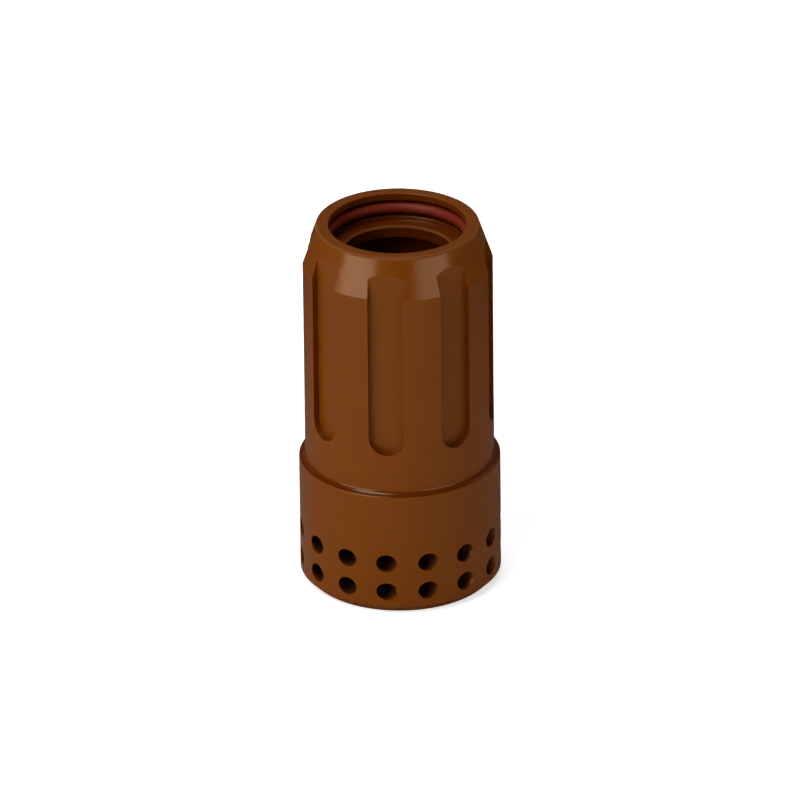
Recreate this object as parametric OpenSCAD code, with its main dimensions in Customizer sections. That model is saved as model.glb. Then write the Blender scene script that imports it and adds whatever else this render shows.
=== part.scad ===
// Swirl ring of a plasma cutting torch: a turned plastic tube with a collar at
// its foot, flutes milled down its body and two rows of slanted gas holes, and
// the rubber ring that seals its top bore.
// The origin is on the axis, in the plane of the foot, and +Z points to the
// sealed end. One flute and one hole of each row are centred on -Y.

/* [Body] */
// Height from the foot to the rim
ring_h = 34.4; // [30:0.1:45]
// Diameter of the fluted body
body_d = 16.9; // [16.4:0.1:17.6]
// Diameter at which the cone's side meets the plane of the rim
rim_d = 14.45; // [14.4:0.05:15.4]
// Height of the cone below the rim
cone_h = 3.6; // [2.6:0.05:5]
// Radius round the rim's outer edge
rim_round = 0.2; // [0.05:0.05:0.3]
// Width of the break on the rim's inner edge
rim_break = 0.06; // [0.04:0.02:0.2]

/* [Collar] */
// Diameter of the collar
collar_d = 18; // [17.8:0.1:20]
// Height of the collar's ledge
collar_h = 11.7; // [9:0.1:13]
// Radius round the collar's upper edge
ledge_round = 0.1; // [0.05:0.05:0.5]
// Radius of the fillet between the ledge and the body
ledge_fillet = 0.4; // [0.05:0.05:0.5]
// Width and height of the chamfer round the foot
foot_chamfer = 0.75; // [0.2:0.05:1]

/* [Flutes] */
// Number of flutes
flute_count = 8; // [4:1:10]
// Width of a flute, which is the diameter of its round lower end
flute_w = 3.2; // [2:0.05:4]
// Depth of a flute's flat floor below the body's surface
flute_depth = 0.75; // [0.3:0.05:0.9]
// Height of a flute's lowest point
flute_low_z = 15.5; // [15:0.1:22]

/* [Swirl holes] */
// Number of holes in each row
hole_count = 15; // [6:1:16]
// Diameter of a hole
hole_d = 1.7; // [0.8:0.1:1.9]
// Height of the lower row
hole_low_z = 2.25; // [1.8:0.05:2.6]
// Distance between the two rows
row_pitch = 2.8; // [2.2:0.1:3.2]
// Angle between a hole and the radius at its mouth, which makes the gas swirl
swirl_angle = 26; // [0:1:30]

/* [Bores] */
// Diameter of the chamber that the holes blow into
chamber_d = 14.2; // [13.2:0.1:14.6]
// Height of the chamber
chamber_h = 8.4; // [7.4:0.1:10]
// Diameter of the bore between the chamber and the lip
bore_d = 12.4; // [10.6:0.1:13]
// Diameter of the hole in the lip
lip_d = 9.8; // [8:0.1:10]
// Thickness of the lip
lip_t = 1.1; // [0.6:0.05:2]
// Width of the break on the lip's upper edge and on the chamber's mouth
bore_break = 0.15; // [0.05:0.05:0.3]

/* [Seal] */
// Diameter of the bore above the lip
seal_bore_d = 12.3; // [11.6:0.1:12.6]
// Depth of the bore above the lip
seal_bore_depth = 2.65; // [2.45:0.05:4]
// Depth of the groove's upper edge below the rim
groove_top_depth = 0.65; // [0.4:0.05:0.8]
// Diameter of the rubber ring's section
cord_d = 1; // [0.8:0.05:1.1]
// Height by which the rubber ring stands out of its groove
stand_out = 0.2; // [0.15:0.05:0.4]
// Clearance between the rubber ring and the floor of its groove
floor_clearance = 0.05; // [0.02:0.01:0.1]
// Clearance above the rubber ring in its groove
top_clearance = 0.4; // [0.1:0.05:0.5]
// Clearance below the rubber ring in its groove
low_clearance = 0.22; // [0.1:0.02:0.3]

/* [Hidden] */
$fn = 96;

collar_r = collar_d / 2;
body_r = body_d / 2;
rim_r = rim_d / 2;
chamber_r = chamber_d / 2;
bore_r = bore_d / 2;
lip_r = lip_d / 2;
seal_bore_r = seal_bore_d / 2;

// Both radii have to fit in the ledge, with some of it left flat between them
ledge_w = collar_r - body_r;
ledge_flat = 0.03;
round_r = min(ledge_round, ledge_w / 3);
fillet_r = min(ledge_fillet, ledge_w - round_r - ledge_flat);
cone_tilt = atan((body_r - rim_r) / cone_h);
lip_top_z = ring_h - seal_bore_depth;
lip_low_z = lip_top_z - lip_t;

groove_r = seal_bore_r + cord_d + floor_clearance - stand_out;
groove_top_z = ring_h - groove_top_depth;
groove_low_z = groove_top_z - top_clearance - cord_d - low_clearance;
cord_centre_r = groove_r - floor_clearance - cord_d / 2;
cord_centre_z = groove_low_z + low_clearance + cord_d / 2;

flute_floor_r = body_r - flute_depth;
swirl_offset = collar_r * sin(swirl_angle);

// What is left of a square's corner outside the circle that touches both sides
module spandrel(r) {
    difference() {
        square(r);
        circle(r);
    }
}

// How far from the rim's sharp outer corner a circle that rounds it off touches it
function rim_side(r) = r * tan((90 - cone_tilt) / 2);

// The same for that corner, whose outer side leans in by the cone's tilt. The
// corner is drawn larger than the circle needs, so that cutting leaves no sliver.
module rim_spandrel() {
    size = 2 * rim_round;
    difference() {
        polygon([
            [0, 0],
            [0, size],
            [rim_side(size), size],
            [size * cos(cone_tilt), size * sin(cone_tilt)]
        ]);
        circle(rim_round);
    }
}

// Half of the tube's section: outside from the foot up, then the bores down
module sharp_section() {
    polygon([
        [chamber_r + bore_break, 0],
        [collar_r - foot_chamfer, 0],
        [collar_r, foot_chamfer],
        [collar_r, collar_h],
        [body_r, collar_h],
        [body_r, ring_h - cone_h],
        [rim_r, ring_h],
        [seal_bore_r + rim_break, ring_h],
        [seal_bore_r, ring_h - rim_break],
        [seal_bore_r, groove_top_z],
        [groove_r, groove_top_z],
        [groove_r, groove_low_z],
        [seal_bore_r, groove_low_z],
        [seal_bore_r, lip_top_z],
        [lip_r + bore_break, lip_top_z],
        [lip_r, lip_top_z - bore_break],
        [lip_r, lip_low_z],
        [bore_r, lip_low_z],
        [bore_r, chamber_h],
        [chamber_r, chamber_h],
        [chamber_r, bore_break]
    ]);
}

// The section with the outer edges of the rim and ledge rounded and the ledge's
// inner corner filled
module turned_section() {
    difference() {
        sharp_section();
        translate([rim_r - rim_side(rim_round), ring_h - rim_round]) rim_spandrel();
        translate([collar_r - round_r, collar_h - round_r]) spandrel(round_r);
    }
    translate([body_r + fillet_r, collar_h + fillet_r]) rotate(180) spandrel(fillet_r);
}

// Path of an end mill down the -Y side: a flat floor with a round lower end,
// which runs out at the top where the cone is narrower than the floor
module flute_cut() {
    low_centre_z = flute_low_z + flute_w / 2;
    translate([0, -flute_floor_r, low_centre_z])
        rotate([90, 0, 0])
            cylinder(d = flute_w, h = collar_r);
    translate([-flute_w / 2, -flute_floor_r - collar_r, low_centre_z])
        cube([flute_w, collar_r, ring_h]);
}

// Drilled beside the axis, and turned so that its mouth is centred on -Y
module swirl_cut() {
    rotate([0, 0, swirl_angle])
        translate([-swirl_offset, 0, 0])
            rotate([90, 0, 0])
                cylinder(d = hole_d, h = collar_d);
}

module ring_body() {
    color([0.45, 0.25, 0.1])
        difference() {
            rotate_extrude() turned_section();
            for (i = [0 : flute_count - 1])
                rotate([0, 0, i * 360 / flute_count]) flute_cut();
            for (z = [hole_low_z, hole_low_z + row_pitch], i = [0 : hole_count - 1])
                translate([0, 0, z])
                    rotate([0, 0, i * 360 / hole_count])
                        swirl_cut();
        }
}

// Round rubber ring, low in its groove and standing out into the bore
module o_ring() {
    color([0.4, 0.14, 0.09])
        rotate_extrude()
            translate([cord_centre_r, cord_centre_z])
                circle(d = cord_d);
}

ring_body();
o_ring();
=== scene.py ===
# %% [markdown]
# A swirl ring from a plasma cutting torch, dressed for a studio picture.
# The ring's two solids come ready made from the CAD model: a turned sleeve of amber-brown
# plastic and the rubber ring in its top bore. Their shapes are right, so they stay as they
# are, and this lesson is about finish and light. Each step says what the real thing is
# like, how it could be made and why it is made this way. Blender's lengths are in metres
# here, and the sizes of finishes and of their zones are written in millimetres.

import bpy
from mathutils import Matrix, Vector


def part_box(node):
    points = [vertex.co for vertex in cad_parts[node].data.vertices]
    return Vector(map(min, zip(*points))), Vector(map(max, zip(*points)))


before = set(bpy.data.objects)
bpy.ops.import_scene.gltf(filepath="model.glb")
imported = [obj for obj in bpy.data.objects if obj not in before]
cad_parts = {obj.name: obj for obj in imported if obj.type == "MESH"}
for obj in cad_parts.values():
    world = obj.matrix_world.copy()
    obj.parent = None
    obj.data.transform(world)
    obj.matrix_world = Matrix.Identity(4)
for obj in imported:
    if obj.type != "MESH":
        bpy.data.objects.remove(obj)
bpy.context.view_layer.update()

# %% [markdown]
# The real ring is about 34 mm tall, and the picture was taken from a metre away with a
# long lens, so the ring's sides look almost parallel. The camera could be set by eye, but
# its place was worked out from the outlines of the rim, the ledge and the foot, so that
# the render and the photograph lie on top of each other. The camera is turned about the
# ring's axis first, then tilted down, then rolled about its own line of sight. A point is
# given by its direction from the ring and its distance.

# %% Place the camera
from math import cos, radians, sin

import bpy
from mathutils import Matrix, Vector

PICTURE = 800
SENSOR = 36
camera_azimuth = 8.01
camera_elevation = 26.52
camera_roll = -0.587
camera_distance = 1.063
pixels_per_metre = 11218
axis_pixel = (399.18, 398.81)
aim = Vector((0, 0, 0.017))


def around(azimuth, elevation, distance):
    """The point at that distance from the ring's middle. Azimuth 0 is towards -Y."""
    a = radians(azimuth)
    e = radians(elevation)
    return aim + distance * Vector((sin(a) * cos(e), -cos(a) * cos(e), sin(e)))


def linked(name, data):
    """A new object in the scene."""
    new = bpy.data.objects.new(name, data)
    bpy.context.scene.collection.objects.link(new)
    return new


camera = linked("camera", bpy.data.cameras.new("camera"))
turned = Matrix.Rotation(radians(camera_azimuth), 4, "Z")
tilted = Matrix.Rotation(radians(90 - camera_elevation), 4, "X")
rolled = Matrix.Rotation(radians(camera_roll), 4, "Z")
camera.matrix_world = turned @ tilted @ rolled
camera.location = around(camera_azimuth, camera_elevation, camera_distance)
camera.data.sensor_width = SENSOR
camera.data.lens = pixels_per_metre * camera_distance * SENSOR / PICTURE
camera.data.shift_x = (PICTURE / 2 - axis_pixel[0]) / PICTURE
camera.data.shift_y = (axis_pixel[1] - PICTURE / 2) / PICTURE
camera.data.clip_end = 20
bpy.context.scene.camera = camera
place = tuple(round(value, 3) for value in camera.location)
print("Camera at", place, "with a lens of", round(camera.data.lens), "mm")

# %% [markdown]
# Materials are node trees. Adding a node takes the same few lines each time: make it, set
# its options, fill its inputs and join what feeds it. A few helpers do that, so the cells
# below read as lists of what feeds what. An input is either a plain value or the output of
# another node.

# %% Helpers for nodes


def add(tree, kind, options=None, **inputs):
    """Adds a node, sets its options, and fills or joins its inputs by name or number."""
    made = tree.nodes.new(kind)
    for option, value in (options or {}).items():
        setattr(made, option, value)
    for key, value in inputs.items():
        number = key.removeprefix("i")
        socket = made.inputs[int(number) if number.isdigit() else key.replace("_", " ")]
        if isinstance(value, bpy.types.NodeSocket):
            tree.links.new(value, socket)
        else:
            socket.default_value = value
    return made


def sums(tree, operation, *values, clamp=False):
    """The output of a Math node."""
    options = {"operation": operation, "use_clamp": clamp}
    inputs = {f"i{number}": value for number, value in enumerate(values)}
    return add(tree, "ShaderNodeMath", options, **inputs).outputs[0]


def mapped(tree, value, start, end, low, high):
    """Turns what runs from start to end into what runs from low to high, and stops there."""
    inputs = {"i1": start, "i2": end, "i3": low, "i4": high}
    return add(tree, "ShaderNodeMapRange", Value=value, **inputs).outputs[0]


def blended(tree, share, first, second):
    """A mix of two colours."""
    options = {"data_type": "RGBA"}
    return add(tree, "ShaderNodeMix", options, i0=share, i6=first, i7=second).outputs[2]


def fresh(name):
    """A new material, its tree and its one shader."""
    material = bpy.data.materials.new(name)
    material.use_nodes = True
    tree = material.node_tree
    return material, tree, tree.nodes["Principled BSDF"]


print("Helpers: add, sums, mapped, blended, fresh")

# %% [markdown]
# Both the plastic and the rubber have a grain too fine to see by itself, which breaks up
# their shine. It could be an image, but noise has no seams and needs no unwrapping. The
# grain is a node group, so that each material can use it at its own scale. The group puts
# out a value from 0 to 1 that the materials use for colour, roughness and bump.

# %% The grain that both materials use
MM = 0.001

grain = bpy.data.node_groups.new("grain", "ShaderNodeTree")
for socket_name in ("Size in mm", "Roughness"):
    grain.interface.new_socket(socket_name, in_out="INPUT", socket_type="NodeSocketFloat")
grain.interface.new_socket("Value", in_out="OUTPUT", socket_type="NodeSocketFloat")
grain_in = grain.nodes.new("NodeGroupInput")
grain_out = grain.nodes.new("NodeGroupOutput")
speckle = add(
    grain, "ShaderNodeTexNoise", Vector=add(grain, "ShaderNodeTexCoord").outputs["Object"],
    Scale=sums(grain, "DIVIDE", 1 / MM, grain_in.outputs["Size in mm"]), Detail=3.0,
    Roughness=grain_in.outputs["Roughness"],
)
grain.links.new(speckle.outputs["Fac"], grain_out.inputs["Value"])
print("Group", grain.name, "has", len(grain.nodes), "nodes")


def grain_of(tree, size, roughness=0.6):
    """Places the group in a material and gives its output."""
    group = add(tree, "ShaderNodeGroup", {"node_tree": grain})
    group.inputs["Size in mm"].default_value = size
    group.inputs["Roughness"].default_value = roughness
    return group.outputs["Value"]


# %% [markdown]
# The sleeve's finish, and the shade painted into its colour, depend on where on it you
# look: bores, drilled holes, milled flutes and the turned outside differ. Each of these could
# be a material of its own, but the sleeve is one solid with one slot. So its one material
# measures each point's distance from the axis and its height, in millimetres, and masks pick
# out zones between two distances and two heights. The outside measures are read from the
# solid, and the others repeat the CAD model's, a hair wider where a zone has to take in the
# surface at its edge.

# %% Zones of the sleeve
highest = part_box("ring_body")[1]
rim_height = highest.z / MM
collar_radius = highest.x / MM
seal_radius = 6.15
seal_depth = 2.65
groove_depth = 2.27
lip_top = rim_height - seal_depth
groove_low = rim_height - groove_depth
lip_radius = 4.9
chamber_radius = 7.1
bore_heights = (-1, rim_height - 0.1)
flute_wall_radii = (7.9, 8.4)
flute_wall_heights = (15, 30.7)
ledge_radii = (8.4, 8.93)
ledge_heights = (11.65, 12)
drilled_heights = (1, 8.45)
lip_corner = 0.17
rim_corner = 0.2
hair = 0.02
print("Heights in mm: rim", round(rim_height, 2), "lip", round(lip_top, 2))


def radius_and_height(tree):
    """Distance from the axis and height, in millimetres."""
    place = add(tree, "ShaderNodeTexCoord").outputs["Object"]
    in_mm = add(tree, "ShaderNodeVectorMath", {"operation": "SCALE"}, i0=place, Scale=1 / MM)
    parts = add(tree, "ShaderNodeSeparateXYZ", Vector=in_mm.outputs[0])
    flat = add(tree, "ShaderNodeCombineXYZ", X=parts.outputs["X"], Y=parts.outputs["Y"])
    radius = add(tree, "ShaderNodeVectorMath", {"operation": "LENGTH"}, i0=flat.outputs[0])
    return radius.outputs["Value"], parts.outputs["Z"]


def between(tree, value, limits):
    """1 between two limits, otherwise 0."""
    low, high = limits
    return sums(tree, "COMPARE", value, (low + high) / 2, (high - low) / 2)


def zone(tree, spot, radii, heights):
    """1 between two distances from the axis and two heights, otherwise 0."""
    radius, height = spot
    return sums(tree, "MULTIPLY", between(tree, radius, radii), between(tree, height, heights))


# %% [markdown]
# The plastic is amber-brown, with soft clouds of a deeper tone and a faint fleck. It lets
# some light in. Walls that lie in shade get a painted shade, a darker and redder colour: the
# bores, the sides of the flutes and the corner above the collar, which gets more painted
# shade still. The lip's edge is left out of this painted shade and keeps the tone of the
# outside. The drilled holes are torn rather than cut, and are painted almost black a little
# way in, a painted shade for their depth. Painting the mesh could do this too, but masks
# need no painting and stay sharp at any size.

# %% Colour of the plastic, with painted shade
plastic_colour = (0.2, 0.049, 0.0008, 1)
plastic_deep = (0.172, 0.041, 0.0005, 1)
# Painted shade: the darker, redder colour of walls in shade, and near-black deep in the holes.
painted_shade_colour = (0.145, 0.026, 0.0004, 1)
painted_hole_shade = (0.04, 0.005, 0.0004, 1)
cloud_size = 6.0
cloud_roughness = 0.4
cloud_share = 0.7
fleck_size = 0.25
# How much further the corner above the collar is darkened, a painted shade.
corner_painted_shade = 0.2


def ledge_corner(tree, spot):
    """The ledge of the collar and the fillet above it."""
    return zone(tree, spot, ledge_radii, ledge_heights)


def lip_edge(tree, spot):
    """The break round the hole in the lip."""
    radii = (lip_radius - hair, lip_radius + lip_corner)
    return zone(tree, spot, radii, (lip_top - lip_corner, lip_top + hair))


def plastic_tone(tree, spot, drilled):
    """The plastic's colour by zone, with painted shade on walls in shade and in the holes."""
    clouds = grain_of(tree, cloud_size, cloud_roughness)
    clouds = sums(tree, "MULTIPLY", clouds, cloud_share)
    mottle = sums(tree, "MULTIPLY_ADD", grain_of(tree, fleck_size), 1 - cloud_share, clouds)
    colour = blended(tree, mottle, plastic_deep, plastic_colour)
    # Painted shade: the bores, the flute sides and the ledge corner take the darker colour.
    bores = zone(tree, spot, (0, chamber_radius + hair), bore_heights)
    bores = sums(tree, "SUBTRACT", bores, lip_edge(tree, spot), clamp=True)
    flute_walls = zone(tree, spot, flute_wall_radii, flute_wall_heights)
    corner = ledge_corner(tree, spot)
    painted_shade = sums(tree, "ADD", bores, sums(tree, "ADD", flute_walls, corner), clamp=True)
    colour = blended(tree, painted_shade, colour, painted_shade_colour)
    # The holes and the ledge corner go darker still, a painted shade.
    dark = sums(tree, "MAXIMUM", drilled, sums(tree, "MULTIPLY", corner, corner_painted_shade))
    return blended(tree, dark, colour, painted_hole_shade)


print("Plastic runs from", plastic_deep[:3], "to", plastic_colour[:3])

# %% [markdown]
# The sleeve is turned on a lathe, so very fine lines run round it: level lines on the walls
# and concentric ones on the flat faces. Both follow one number, the height plus the
# distance from the axis, which is the same all along such a line. A noise that reads only
# that number gives lines of uneven depth, as a worn cutter leaves. The face of the lip was
# cut with a coarser feed. The tool left a tiny round where it meets the bore, and the
# groove's lower edge is broken. Both are under 0.2 mm wide and catch the light as thin
# streaks. They could be cut into the mesh, but at that width a bump shows them as well.

# %% Tool lines and fine edges
feed = 0.11
line_depth = 0.0012
lip_feed = 0.3
lip_line_depth = 3 * line_depth
near = 0.05
edge_width = 0.16
lip_round = 0.17
groove_break = 0.062


def lines(tree, along, pitch, detail):
    """Noise that changes only across the tool's path."""
    turns = sums(tree, "DIVIDE", along, pitch)
    options = {"noise_dimensions": "1D"}
    noise = add(tree, "ShaderNodeTexNoise", options, W=turns, Scale=1.0, Detail=detail)
    return noise.outputs["Fac"]


def edge_curve(tree, value, edge):
    """Curves from 0 to 1 over the last bit before an edge."""
    return sums(tree, "POWER", mapped(tree, value, edge - edge_width, edge, 0, 1), 2)


def tool_marks(tree, spot, fine):
    """Height of the surface in millimetres, for the bump."""
    radius, height = spot
    face = zone(tree, spot, (lip_radius, seal_radius + near), (lip_top - near, lip_top + near))
    wall_radii = (seal_radius - hair, seal_radius + hair)
    wall = zone(tree, spot, wall_radii, (lip_top + near, groove_low + hair))
    coarse = lines(tree, sums(tree, "ADD", radius, height), lip_feed, 1.0)
    coarse = sums(tree, "MULTIPLY", sums(tree, "MULTIPLY", coarse, face), lip_line_depth)
    marks = sums(tree, "MULTIPLY_ADD", fine, line_depth, coarse)
    rise = edge_curve(tree, radius, seal_radius)
    rise = sums(tree, "MULTIPLY", sums(tree, "MULTIPLY", rise, face), lip_round)
    fall = edge_curve(tree, height, groove_low)
    fall = sums(tree, "MULTIPLY", sums(tree, "MULTIPLY", fall, wall), groove_break)
    return sums(tree, "ADD", marks, sums(tree, "SUBTRACT", rise, fall))


print("Lines every", feed, "mm, and every", lip_feed, "mm on the lip")

# %% [markdown]
# Now the plastic itself. Its shine is that of a satin, machined surface. It is rougher in
# the drilled holes and on the broken edges of the lip and the rim, and smoother on the
# ledge, whose glints are sharp. Values that are the same all over, such as the warm tint of
# its shine and how far red light travels inside it, could come from nodes as well, but are
# set on the shader itself, because the export keeps them only there.

# %% The turned plastic
satin = (0.19, 0.29)
ledge_polish = 0.6
# Depths over which the holes grow rough and their painted shade darkens them.
torn_and_shaded_depths = (0.04, 0.4)
torn_roughness = 0.4
broken_roughness = 0.55
shine_tint = (1, 0.76, 0.5, 1)
glow_share = 0.35
glow_reach = (1.0, 0.2, 0.02)
glow_depth = 0.5


def turned_plastic():
    """The sleeve's one material."""
    material, tree, shader = fresh("turned_plastic")
    spot = radius_and_height(tree)
    radius, height = spot
    inward = sums(tree, "SUBTRACT", collar_radius, radius)
    # The hole mask paints shade into the colour and makes the walls rougher.
    inside = mapped(tree, inward, *torn_and_shaded_depths, 0, 1)
    drilled = sums(tree, "MULTIPLY", inside, between(tree, height, drilled_heights))
    tree.links.new(plastic_tone(tree, spot, drilled), shader.inputs["Base Color"])

    fine = lines(tree, sums(tree, "ADD", radius, height), feed, 2.0)
    rim_heights = (rim_height - rim_corner, rim_height - 0.005)
    rim_edges = zone(tree, spot, (seal_radius + hair / 2, collar_radius), rim_heights)
    broken = sums(tree, "ADD", lip_edge(tree, spot), rim_edges, clamp=True)
    broken = sums(tree, "MULTIPLY", broken, broken_roughness)
    torn = sums(tree, "MAXIMUM", sums(tree, "MULTIPLY", drilled, torn_roughness), broken)
    cut = mapped(tree, fine, 0, 1, *satin)
    polish = mapped(tree, ledge_corner(tree, spot), 0, 1, 1, ledge_polish)
    cut = sums(tree, "MULTIPLY", cut, polish)
    rough = sums(tree, "ADD", cut, torn)
    tree.links.new(rough, shader.inputs["Roughness"])

    marks = tool_marks(tree, spot, fine)
    bump = add(tree, "ShaderNodeBump", Height=marks, Strength=1.0, Distance=MM)
    tree.links.new(bump.outputs[0], shader.inputs["Normal"])
    shader.inputs["Specular Tint"].default_value = shine_tint
    shader.inputs["Subsurface Weight"].default_value = glow_share
    shader.inputs["Subsurface Radius"].default_value = glow_reach
    shader.inputs["Subsurface Scale"].default_value = glow_depth * MM
    return material


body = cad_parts["ring_body"]
body.data.materials[0] = turned_plastic()
print("Sleeve wears", body.data.materials[0].name)

# %% [markdown]
# The ring in the bore is moulded silicone rubber, reddish brown and slightly dull. Moulded
# rubber has no tool lines, only a fine skin and some dust. A plain colour would look like
# paint, so it gets the shared grain at two sizes and a rougher, weaker shine than the
# plastic has.

# %% The rubber
rubber_colour = (0.21, 0.02, 0.005, 1)
rubber_dusty = (0.245, 0.028, 0.01, 1)
rubber_satin = (0.38, 0.5)
rubber_shine = 0.25
skin_size = 0.12
skin_depth = 0.004
dust_size = 1.5


def moulded_rubber():
    """The rubber ring's material."""
    material, tree, shader = fresh("moulded_rubber")
    skin = grain_of(tree, skin_size)
    dusty = blended(tree, grain_of(tree, dust_size), rubber_colour, rubber_dusty)
    tree.links.new(dusty, shader.inputs["Base Color"])
    tree.links.new(mapped(tree, skin, 0, 1, *rubber_satin), shader.inputs["Roughness"])
    bump = add(tree, "ShaderNodeBump", Height=skin, Distance=skin_depth * MM)
    tree.links.new(bump.outputs[0], shader.inputs["Normal"])
    shader.inputs["Specular IOR Level"].default_value = rubber_shine
    return material


rubber_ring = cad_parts["o_ring"]
rubber_ring.data.materials[0] = moulded_rubber()
print("Rubber ring wears", rubber_ring.data.materials[0].name)

# %% [markdown]
# The floor is a large pale sheet. In the photo it is pure white and almost free of shadow.
# More lamps could burn it out, but they would wash out the plastic too. So part of the
# floor's whiteness is its own, seen by the camera and in the gloss of the plastic, and the
# rest is the light that falls on it, so that the ring keeps a soft shadow. Under the ring
# the sheet is painted dark, a painted shade for the inside of the ring seen through its holes.

# %% The floor
floor_size = 6
floor_own = 0.66
footprint = 8.1
floor_white = (0.9, 0.9, 0.9, 1)
# Painted shade for the sheet under the ring, seen through its holes.
painted_shade_under_ring = (0.02, 0.02, 0.02, 1)


def stage_light(tree):
    """1 where the camera or a shiny or clear surface looks, 0 for scattered light."""
    rays = add(tree, "ShaderNodeLightPath").outputs
    seen = sums(tree, "ADD", rays["Is Camera Ray"], rays["Is Glossy Ray"], clamp=True)
    return sums(tree, "ADD", seen, rays["Is Transmission Ray"], clamp=True)


bpy.ops.mesh.primitive_plane_add(size=floor_size)
floor = bpy.context.object
floor.name = "floor"
paper, tree, shader = fresh("pale_sheet")
place = add(tree, "ShaderNodeTexCoord").outputs["Object"]
reach = add(tree, "ShaderNodeVectorMath", {"operation": "LENGTH"}, i0=place)
outside = sums(tree, "GREATER_THAN", reach.outputs["Value"], footprint * MM)
tree.links.new(blended(tree, outside, painted_shade_under_ring, floor_white), shader.inputs["Base Color"])
shader.inputs["Roughness"].default_value = 0.9
shader.inputs["Specular IOR Level"].default_value = 0.0
glow = sums(tree, "MULTIPLY", sums(tree, "MULTIPLY", stage_light(tree), outside), floor_own)
shader.inputs["Emission Color"].default_value = (1, 1, 1, 1)
tree.links.new(glow, shader.inputs["Emission Strength"])
floor.data.materials.append(paper)
print("Floor is", floor_size, "m wide")

# %% [markdown]
# The light comes from plain softboxes. Two low ones beside the camera show as the upright
# patches on the cone, so their widths and places come from where those patches begin and
# end. Two higher ones on the left give the streaks on the ledge and in the bore, and one
# behind lights the rim. Four low ones at the sides and behind lift the walls that the
# others leave dark. They leave no patch, because shiny surfaces don't see them, as through
# a photographer's polarising filter. One big lamp overhead would be simpler, but it gives
# no patches at all. Each lamp is given by the brightness of its face, because that is what
# a shiny surface shows: its energy is that brightness times its area and pi.

# %% The lamps
from math import pi

softboxes = {
    # azimuth, elevation, distance, width, height, brightness
    "left_box": (-43, 8, 0.6, 0.46, 0.2, 3.6),
    "right_box": (53, 7, 0.6, 0.49, 0.17, 2.4),
    "middle_box": (-34, 33, 0.8, 0.28, 0.3, 3.2),
    "high_box": (-39, 60, 0.8, 0.49, 0.34, 5.1),
    "back_box": (188, 63, 0.8, 0.5, 0.5, 2.7),
    "left_side_box": (-85, 4, 0.7, 0.6, 0.2, 1.6),
    "right_side_box": (85, 4, 0.7, 0.6, 0.2, 0.8),
    "back_left_box": (-145, 5, 0.7, 0.6, 0.2, 1.7),
    "back_right_box": (145, 5, 0.7, 0.6, 0.2, 1.7),
}
unseen_in_shine = ("left_side_box", "right_side_box", "back_left_box", "back_right_box")


def softbox(name, azimuth, elevation, distance, width, tall, brightness):
    """A lamp that faces the ring."""
    data = bpy.data.lights.new(name, "AREA")
    data.shape = "RECTANGLE"
    data.size = width
    data.size_y = tall
    data.energy = brightness * width * tall * pi
    lamp = linked(name, data)
    lamp.location = around(azimuth, elevation, distance)
    lamp.rotation_euler = (aim - lamp.location).to_track_quat("-Z", "Y").to_euler()
    lamp.visible_camera = False
    lamp.visible_glossy = name not in unseen_in_shine


for name, settings in softboxes.items():
    softbox(name, *settings)
print("Lamps:", ", ".join(softboxes))

# %% [markdown]
# Between the patches the plastic in the photo shows almost nothing, and little of the white
# sheet it stands on. In a studio that comes from flags: dark cloth round the set, and a
# card under the object that isn't lit like the rest. Here they are a tent and a card which
# only shiny surfaces see, so they take no light away. The card has no glow of its own, so
# it keeps the ring's shadow, and the plastic's reflections fade towards the foot.

# %% The room and its flags
room_light = 0.03
tent_radius = 5
tent_reach = 3
tent_tones = (0.02, 0.02)
tent_glows = (0.0, 0.05)
card_radius = 2.5
card_height = 0.02
card_reach = 0.05
# The card is darker behind the ring than in front: a painted shadow.
card_tones_and_painted_shadow = (0.36, 0.05)
card_glows = (0, 0)

world = bpy.data.worlds.new("room")
world.use_nodes = True
bpy.context.scene.world = world
tree = world.node_tree
background = tree.nodes["Background"]
strength = mapped(tree, stage_light(tree), 0, 1, room_light, 1)
tree.links.new(strength, background.inputs["Strength"])
background.inputs["Color"].default_value = (1, 1, 1, 1)


def flag(name, piece, reach, tones, glows):
    """Turns a mesh into a flag that only shiny surfaces see. Each pair is front, back."""
    piece.name = name
    cloth, tree, shader = fresh(name)
    shader.inputs["Roughness"].default_value = 1.0
    shader.inputs["Specular IOR Level"].default_value = 0.0
    shader.inputs["Emission Color"].default_value = (1, 1, 1, 1)
    place = add(tree, "ShaderNodeTexCoord").outputs["Object"]
    depth = add(tree, "ShaderNodeSeparateXYZ", Vector=place).outputs["Y"]
    tone = mapped(tree, depth, -reach, reach, *tones)
    tree.links.new(tone, shader.inputs["Base Color"])
    glow = mapped(tree, depth, -reach, reach, *glows)
    tree.links.new(glow, shader.inputs["Emission Strength"])
    piece.data.materials.append(cloth)
    for ray in ("camera", "diffuse", "transmission", "volume_scatter", "shadow"):
        setattr(piece, "visible_" + ray, False)


bpy.ops.mesh.primitive_uv_sphere_add(radius=tent_radius, segments=48, ring_count=24)
flag("dark_tent", bpy.context.object, tent_reach, tent_tones, tent_glows)
bpy.ops.mesh.primitive_circle_add(
    vertices=64, radius=card_radius, fill_type="NGON", location=(0, 0, card_height * MM)
)
flag("card", bpy.context.object, card_reach, card_tones_and_painted_shadow, card_glows)
print("Flags: dark_tent, card")

# %% [markdown]
# Last, the picture's own settings. The Standard view shows each colour as it was written,
# where others would bend it.

bpy.context.scene.view_settings.view_transform = "Standard"
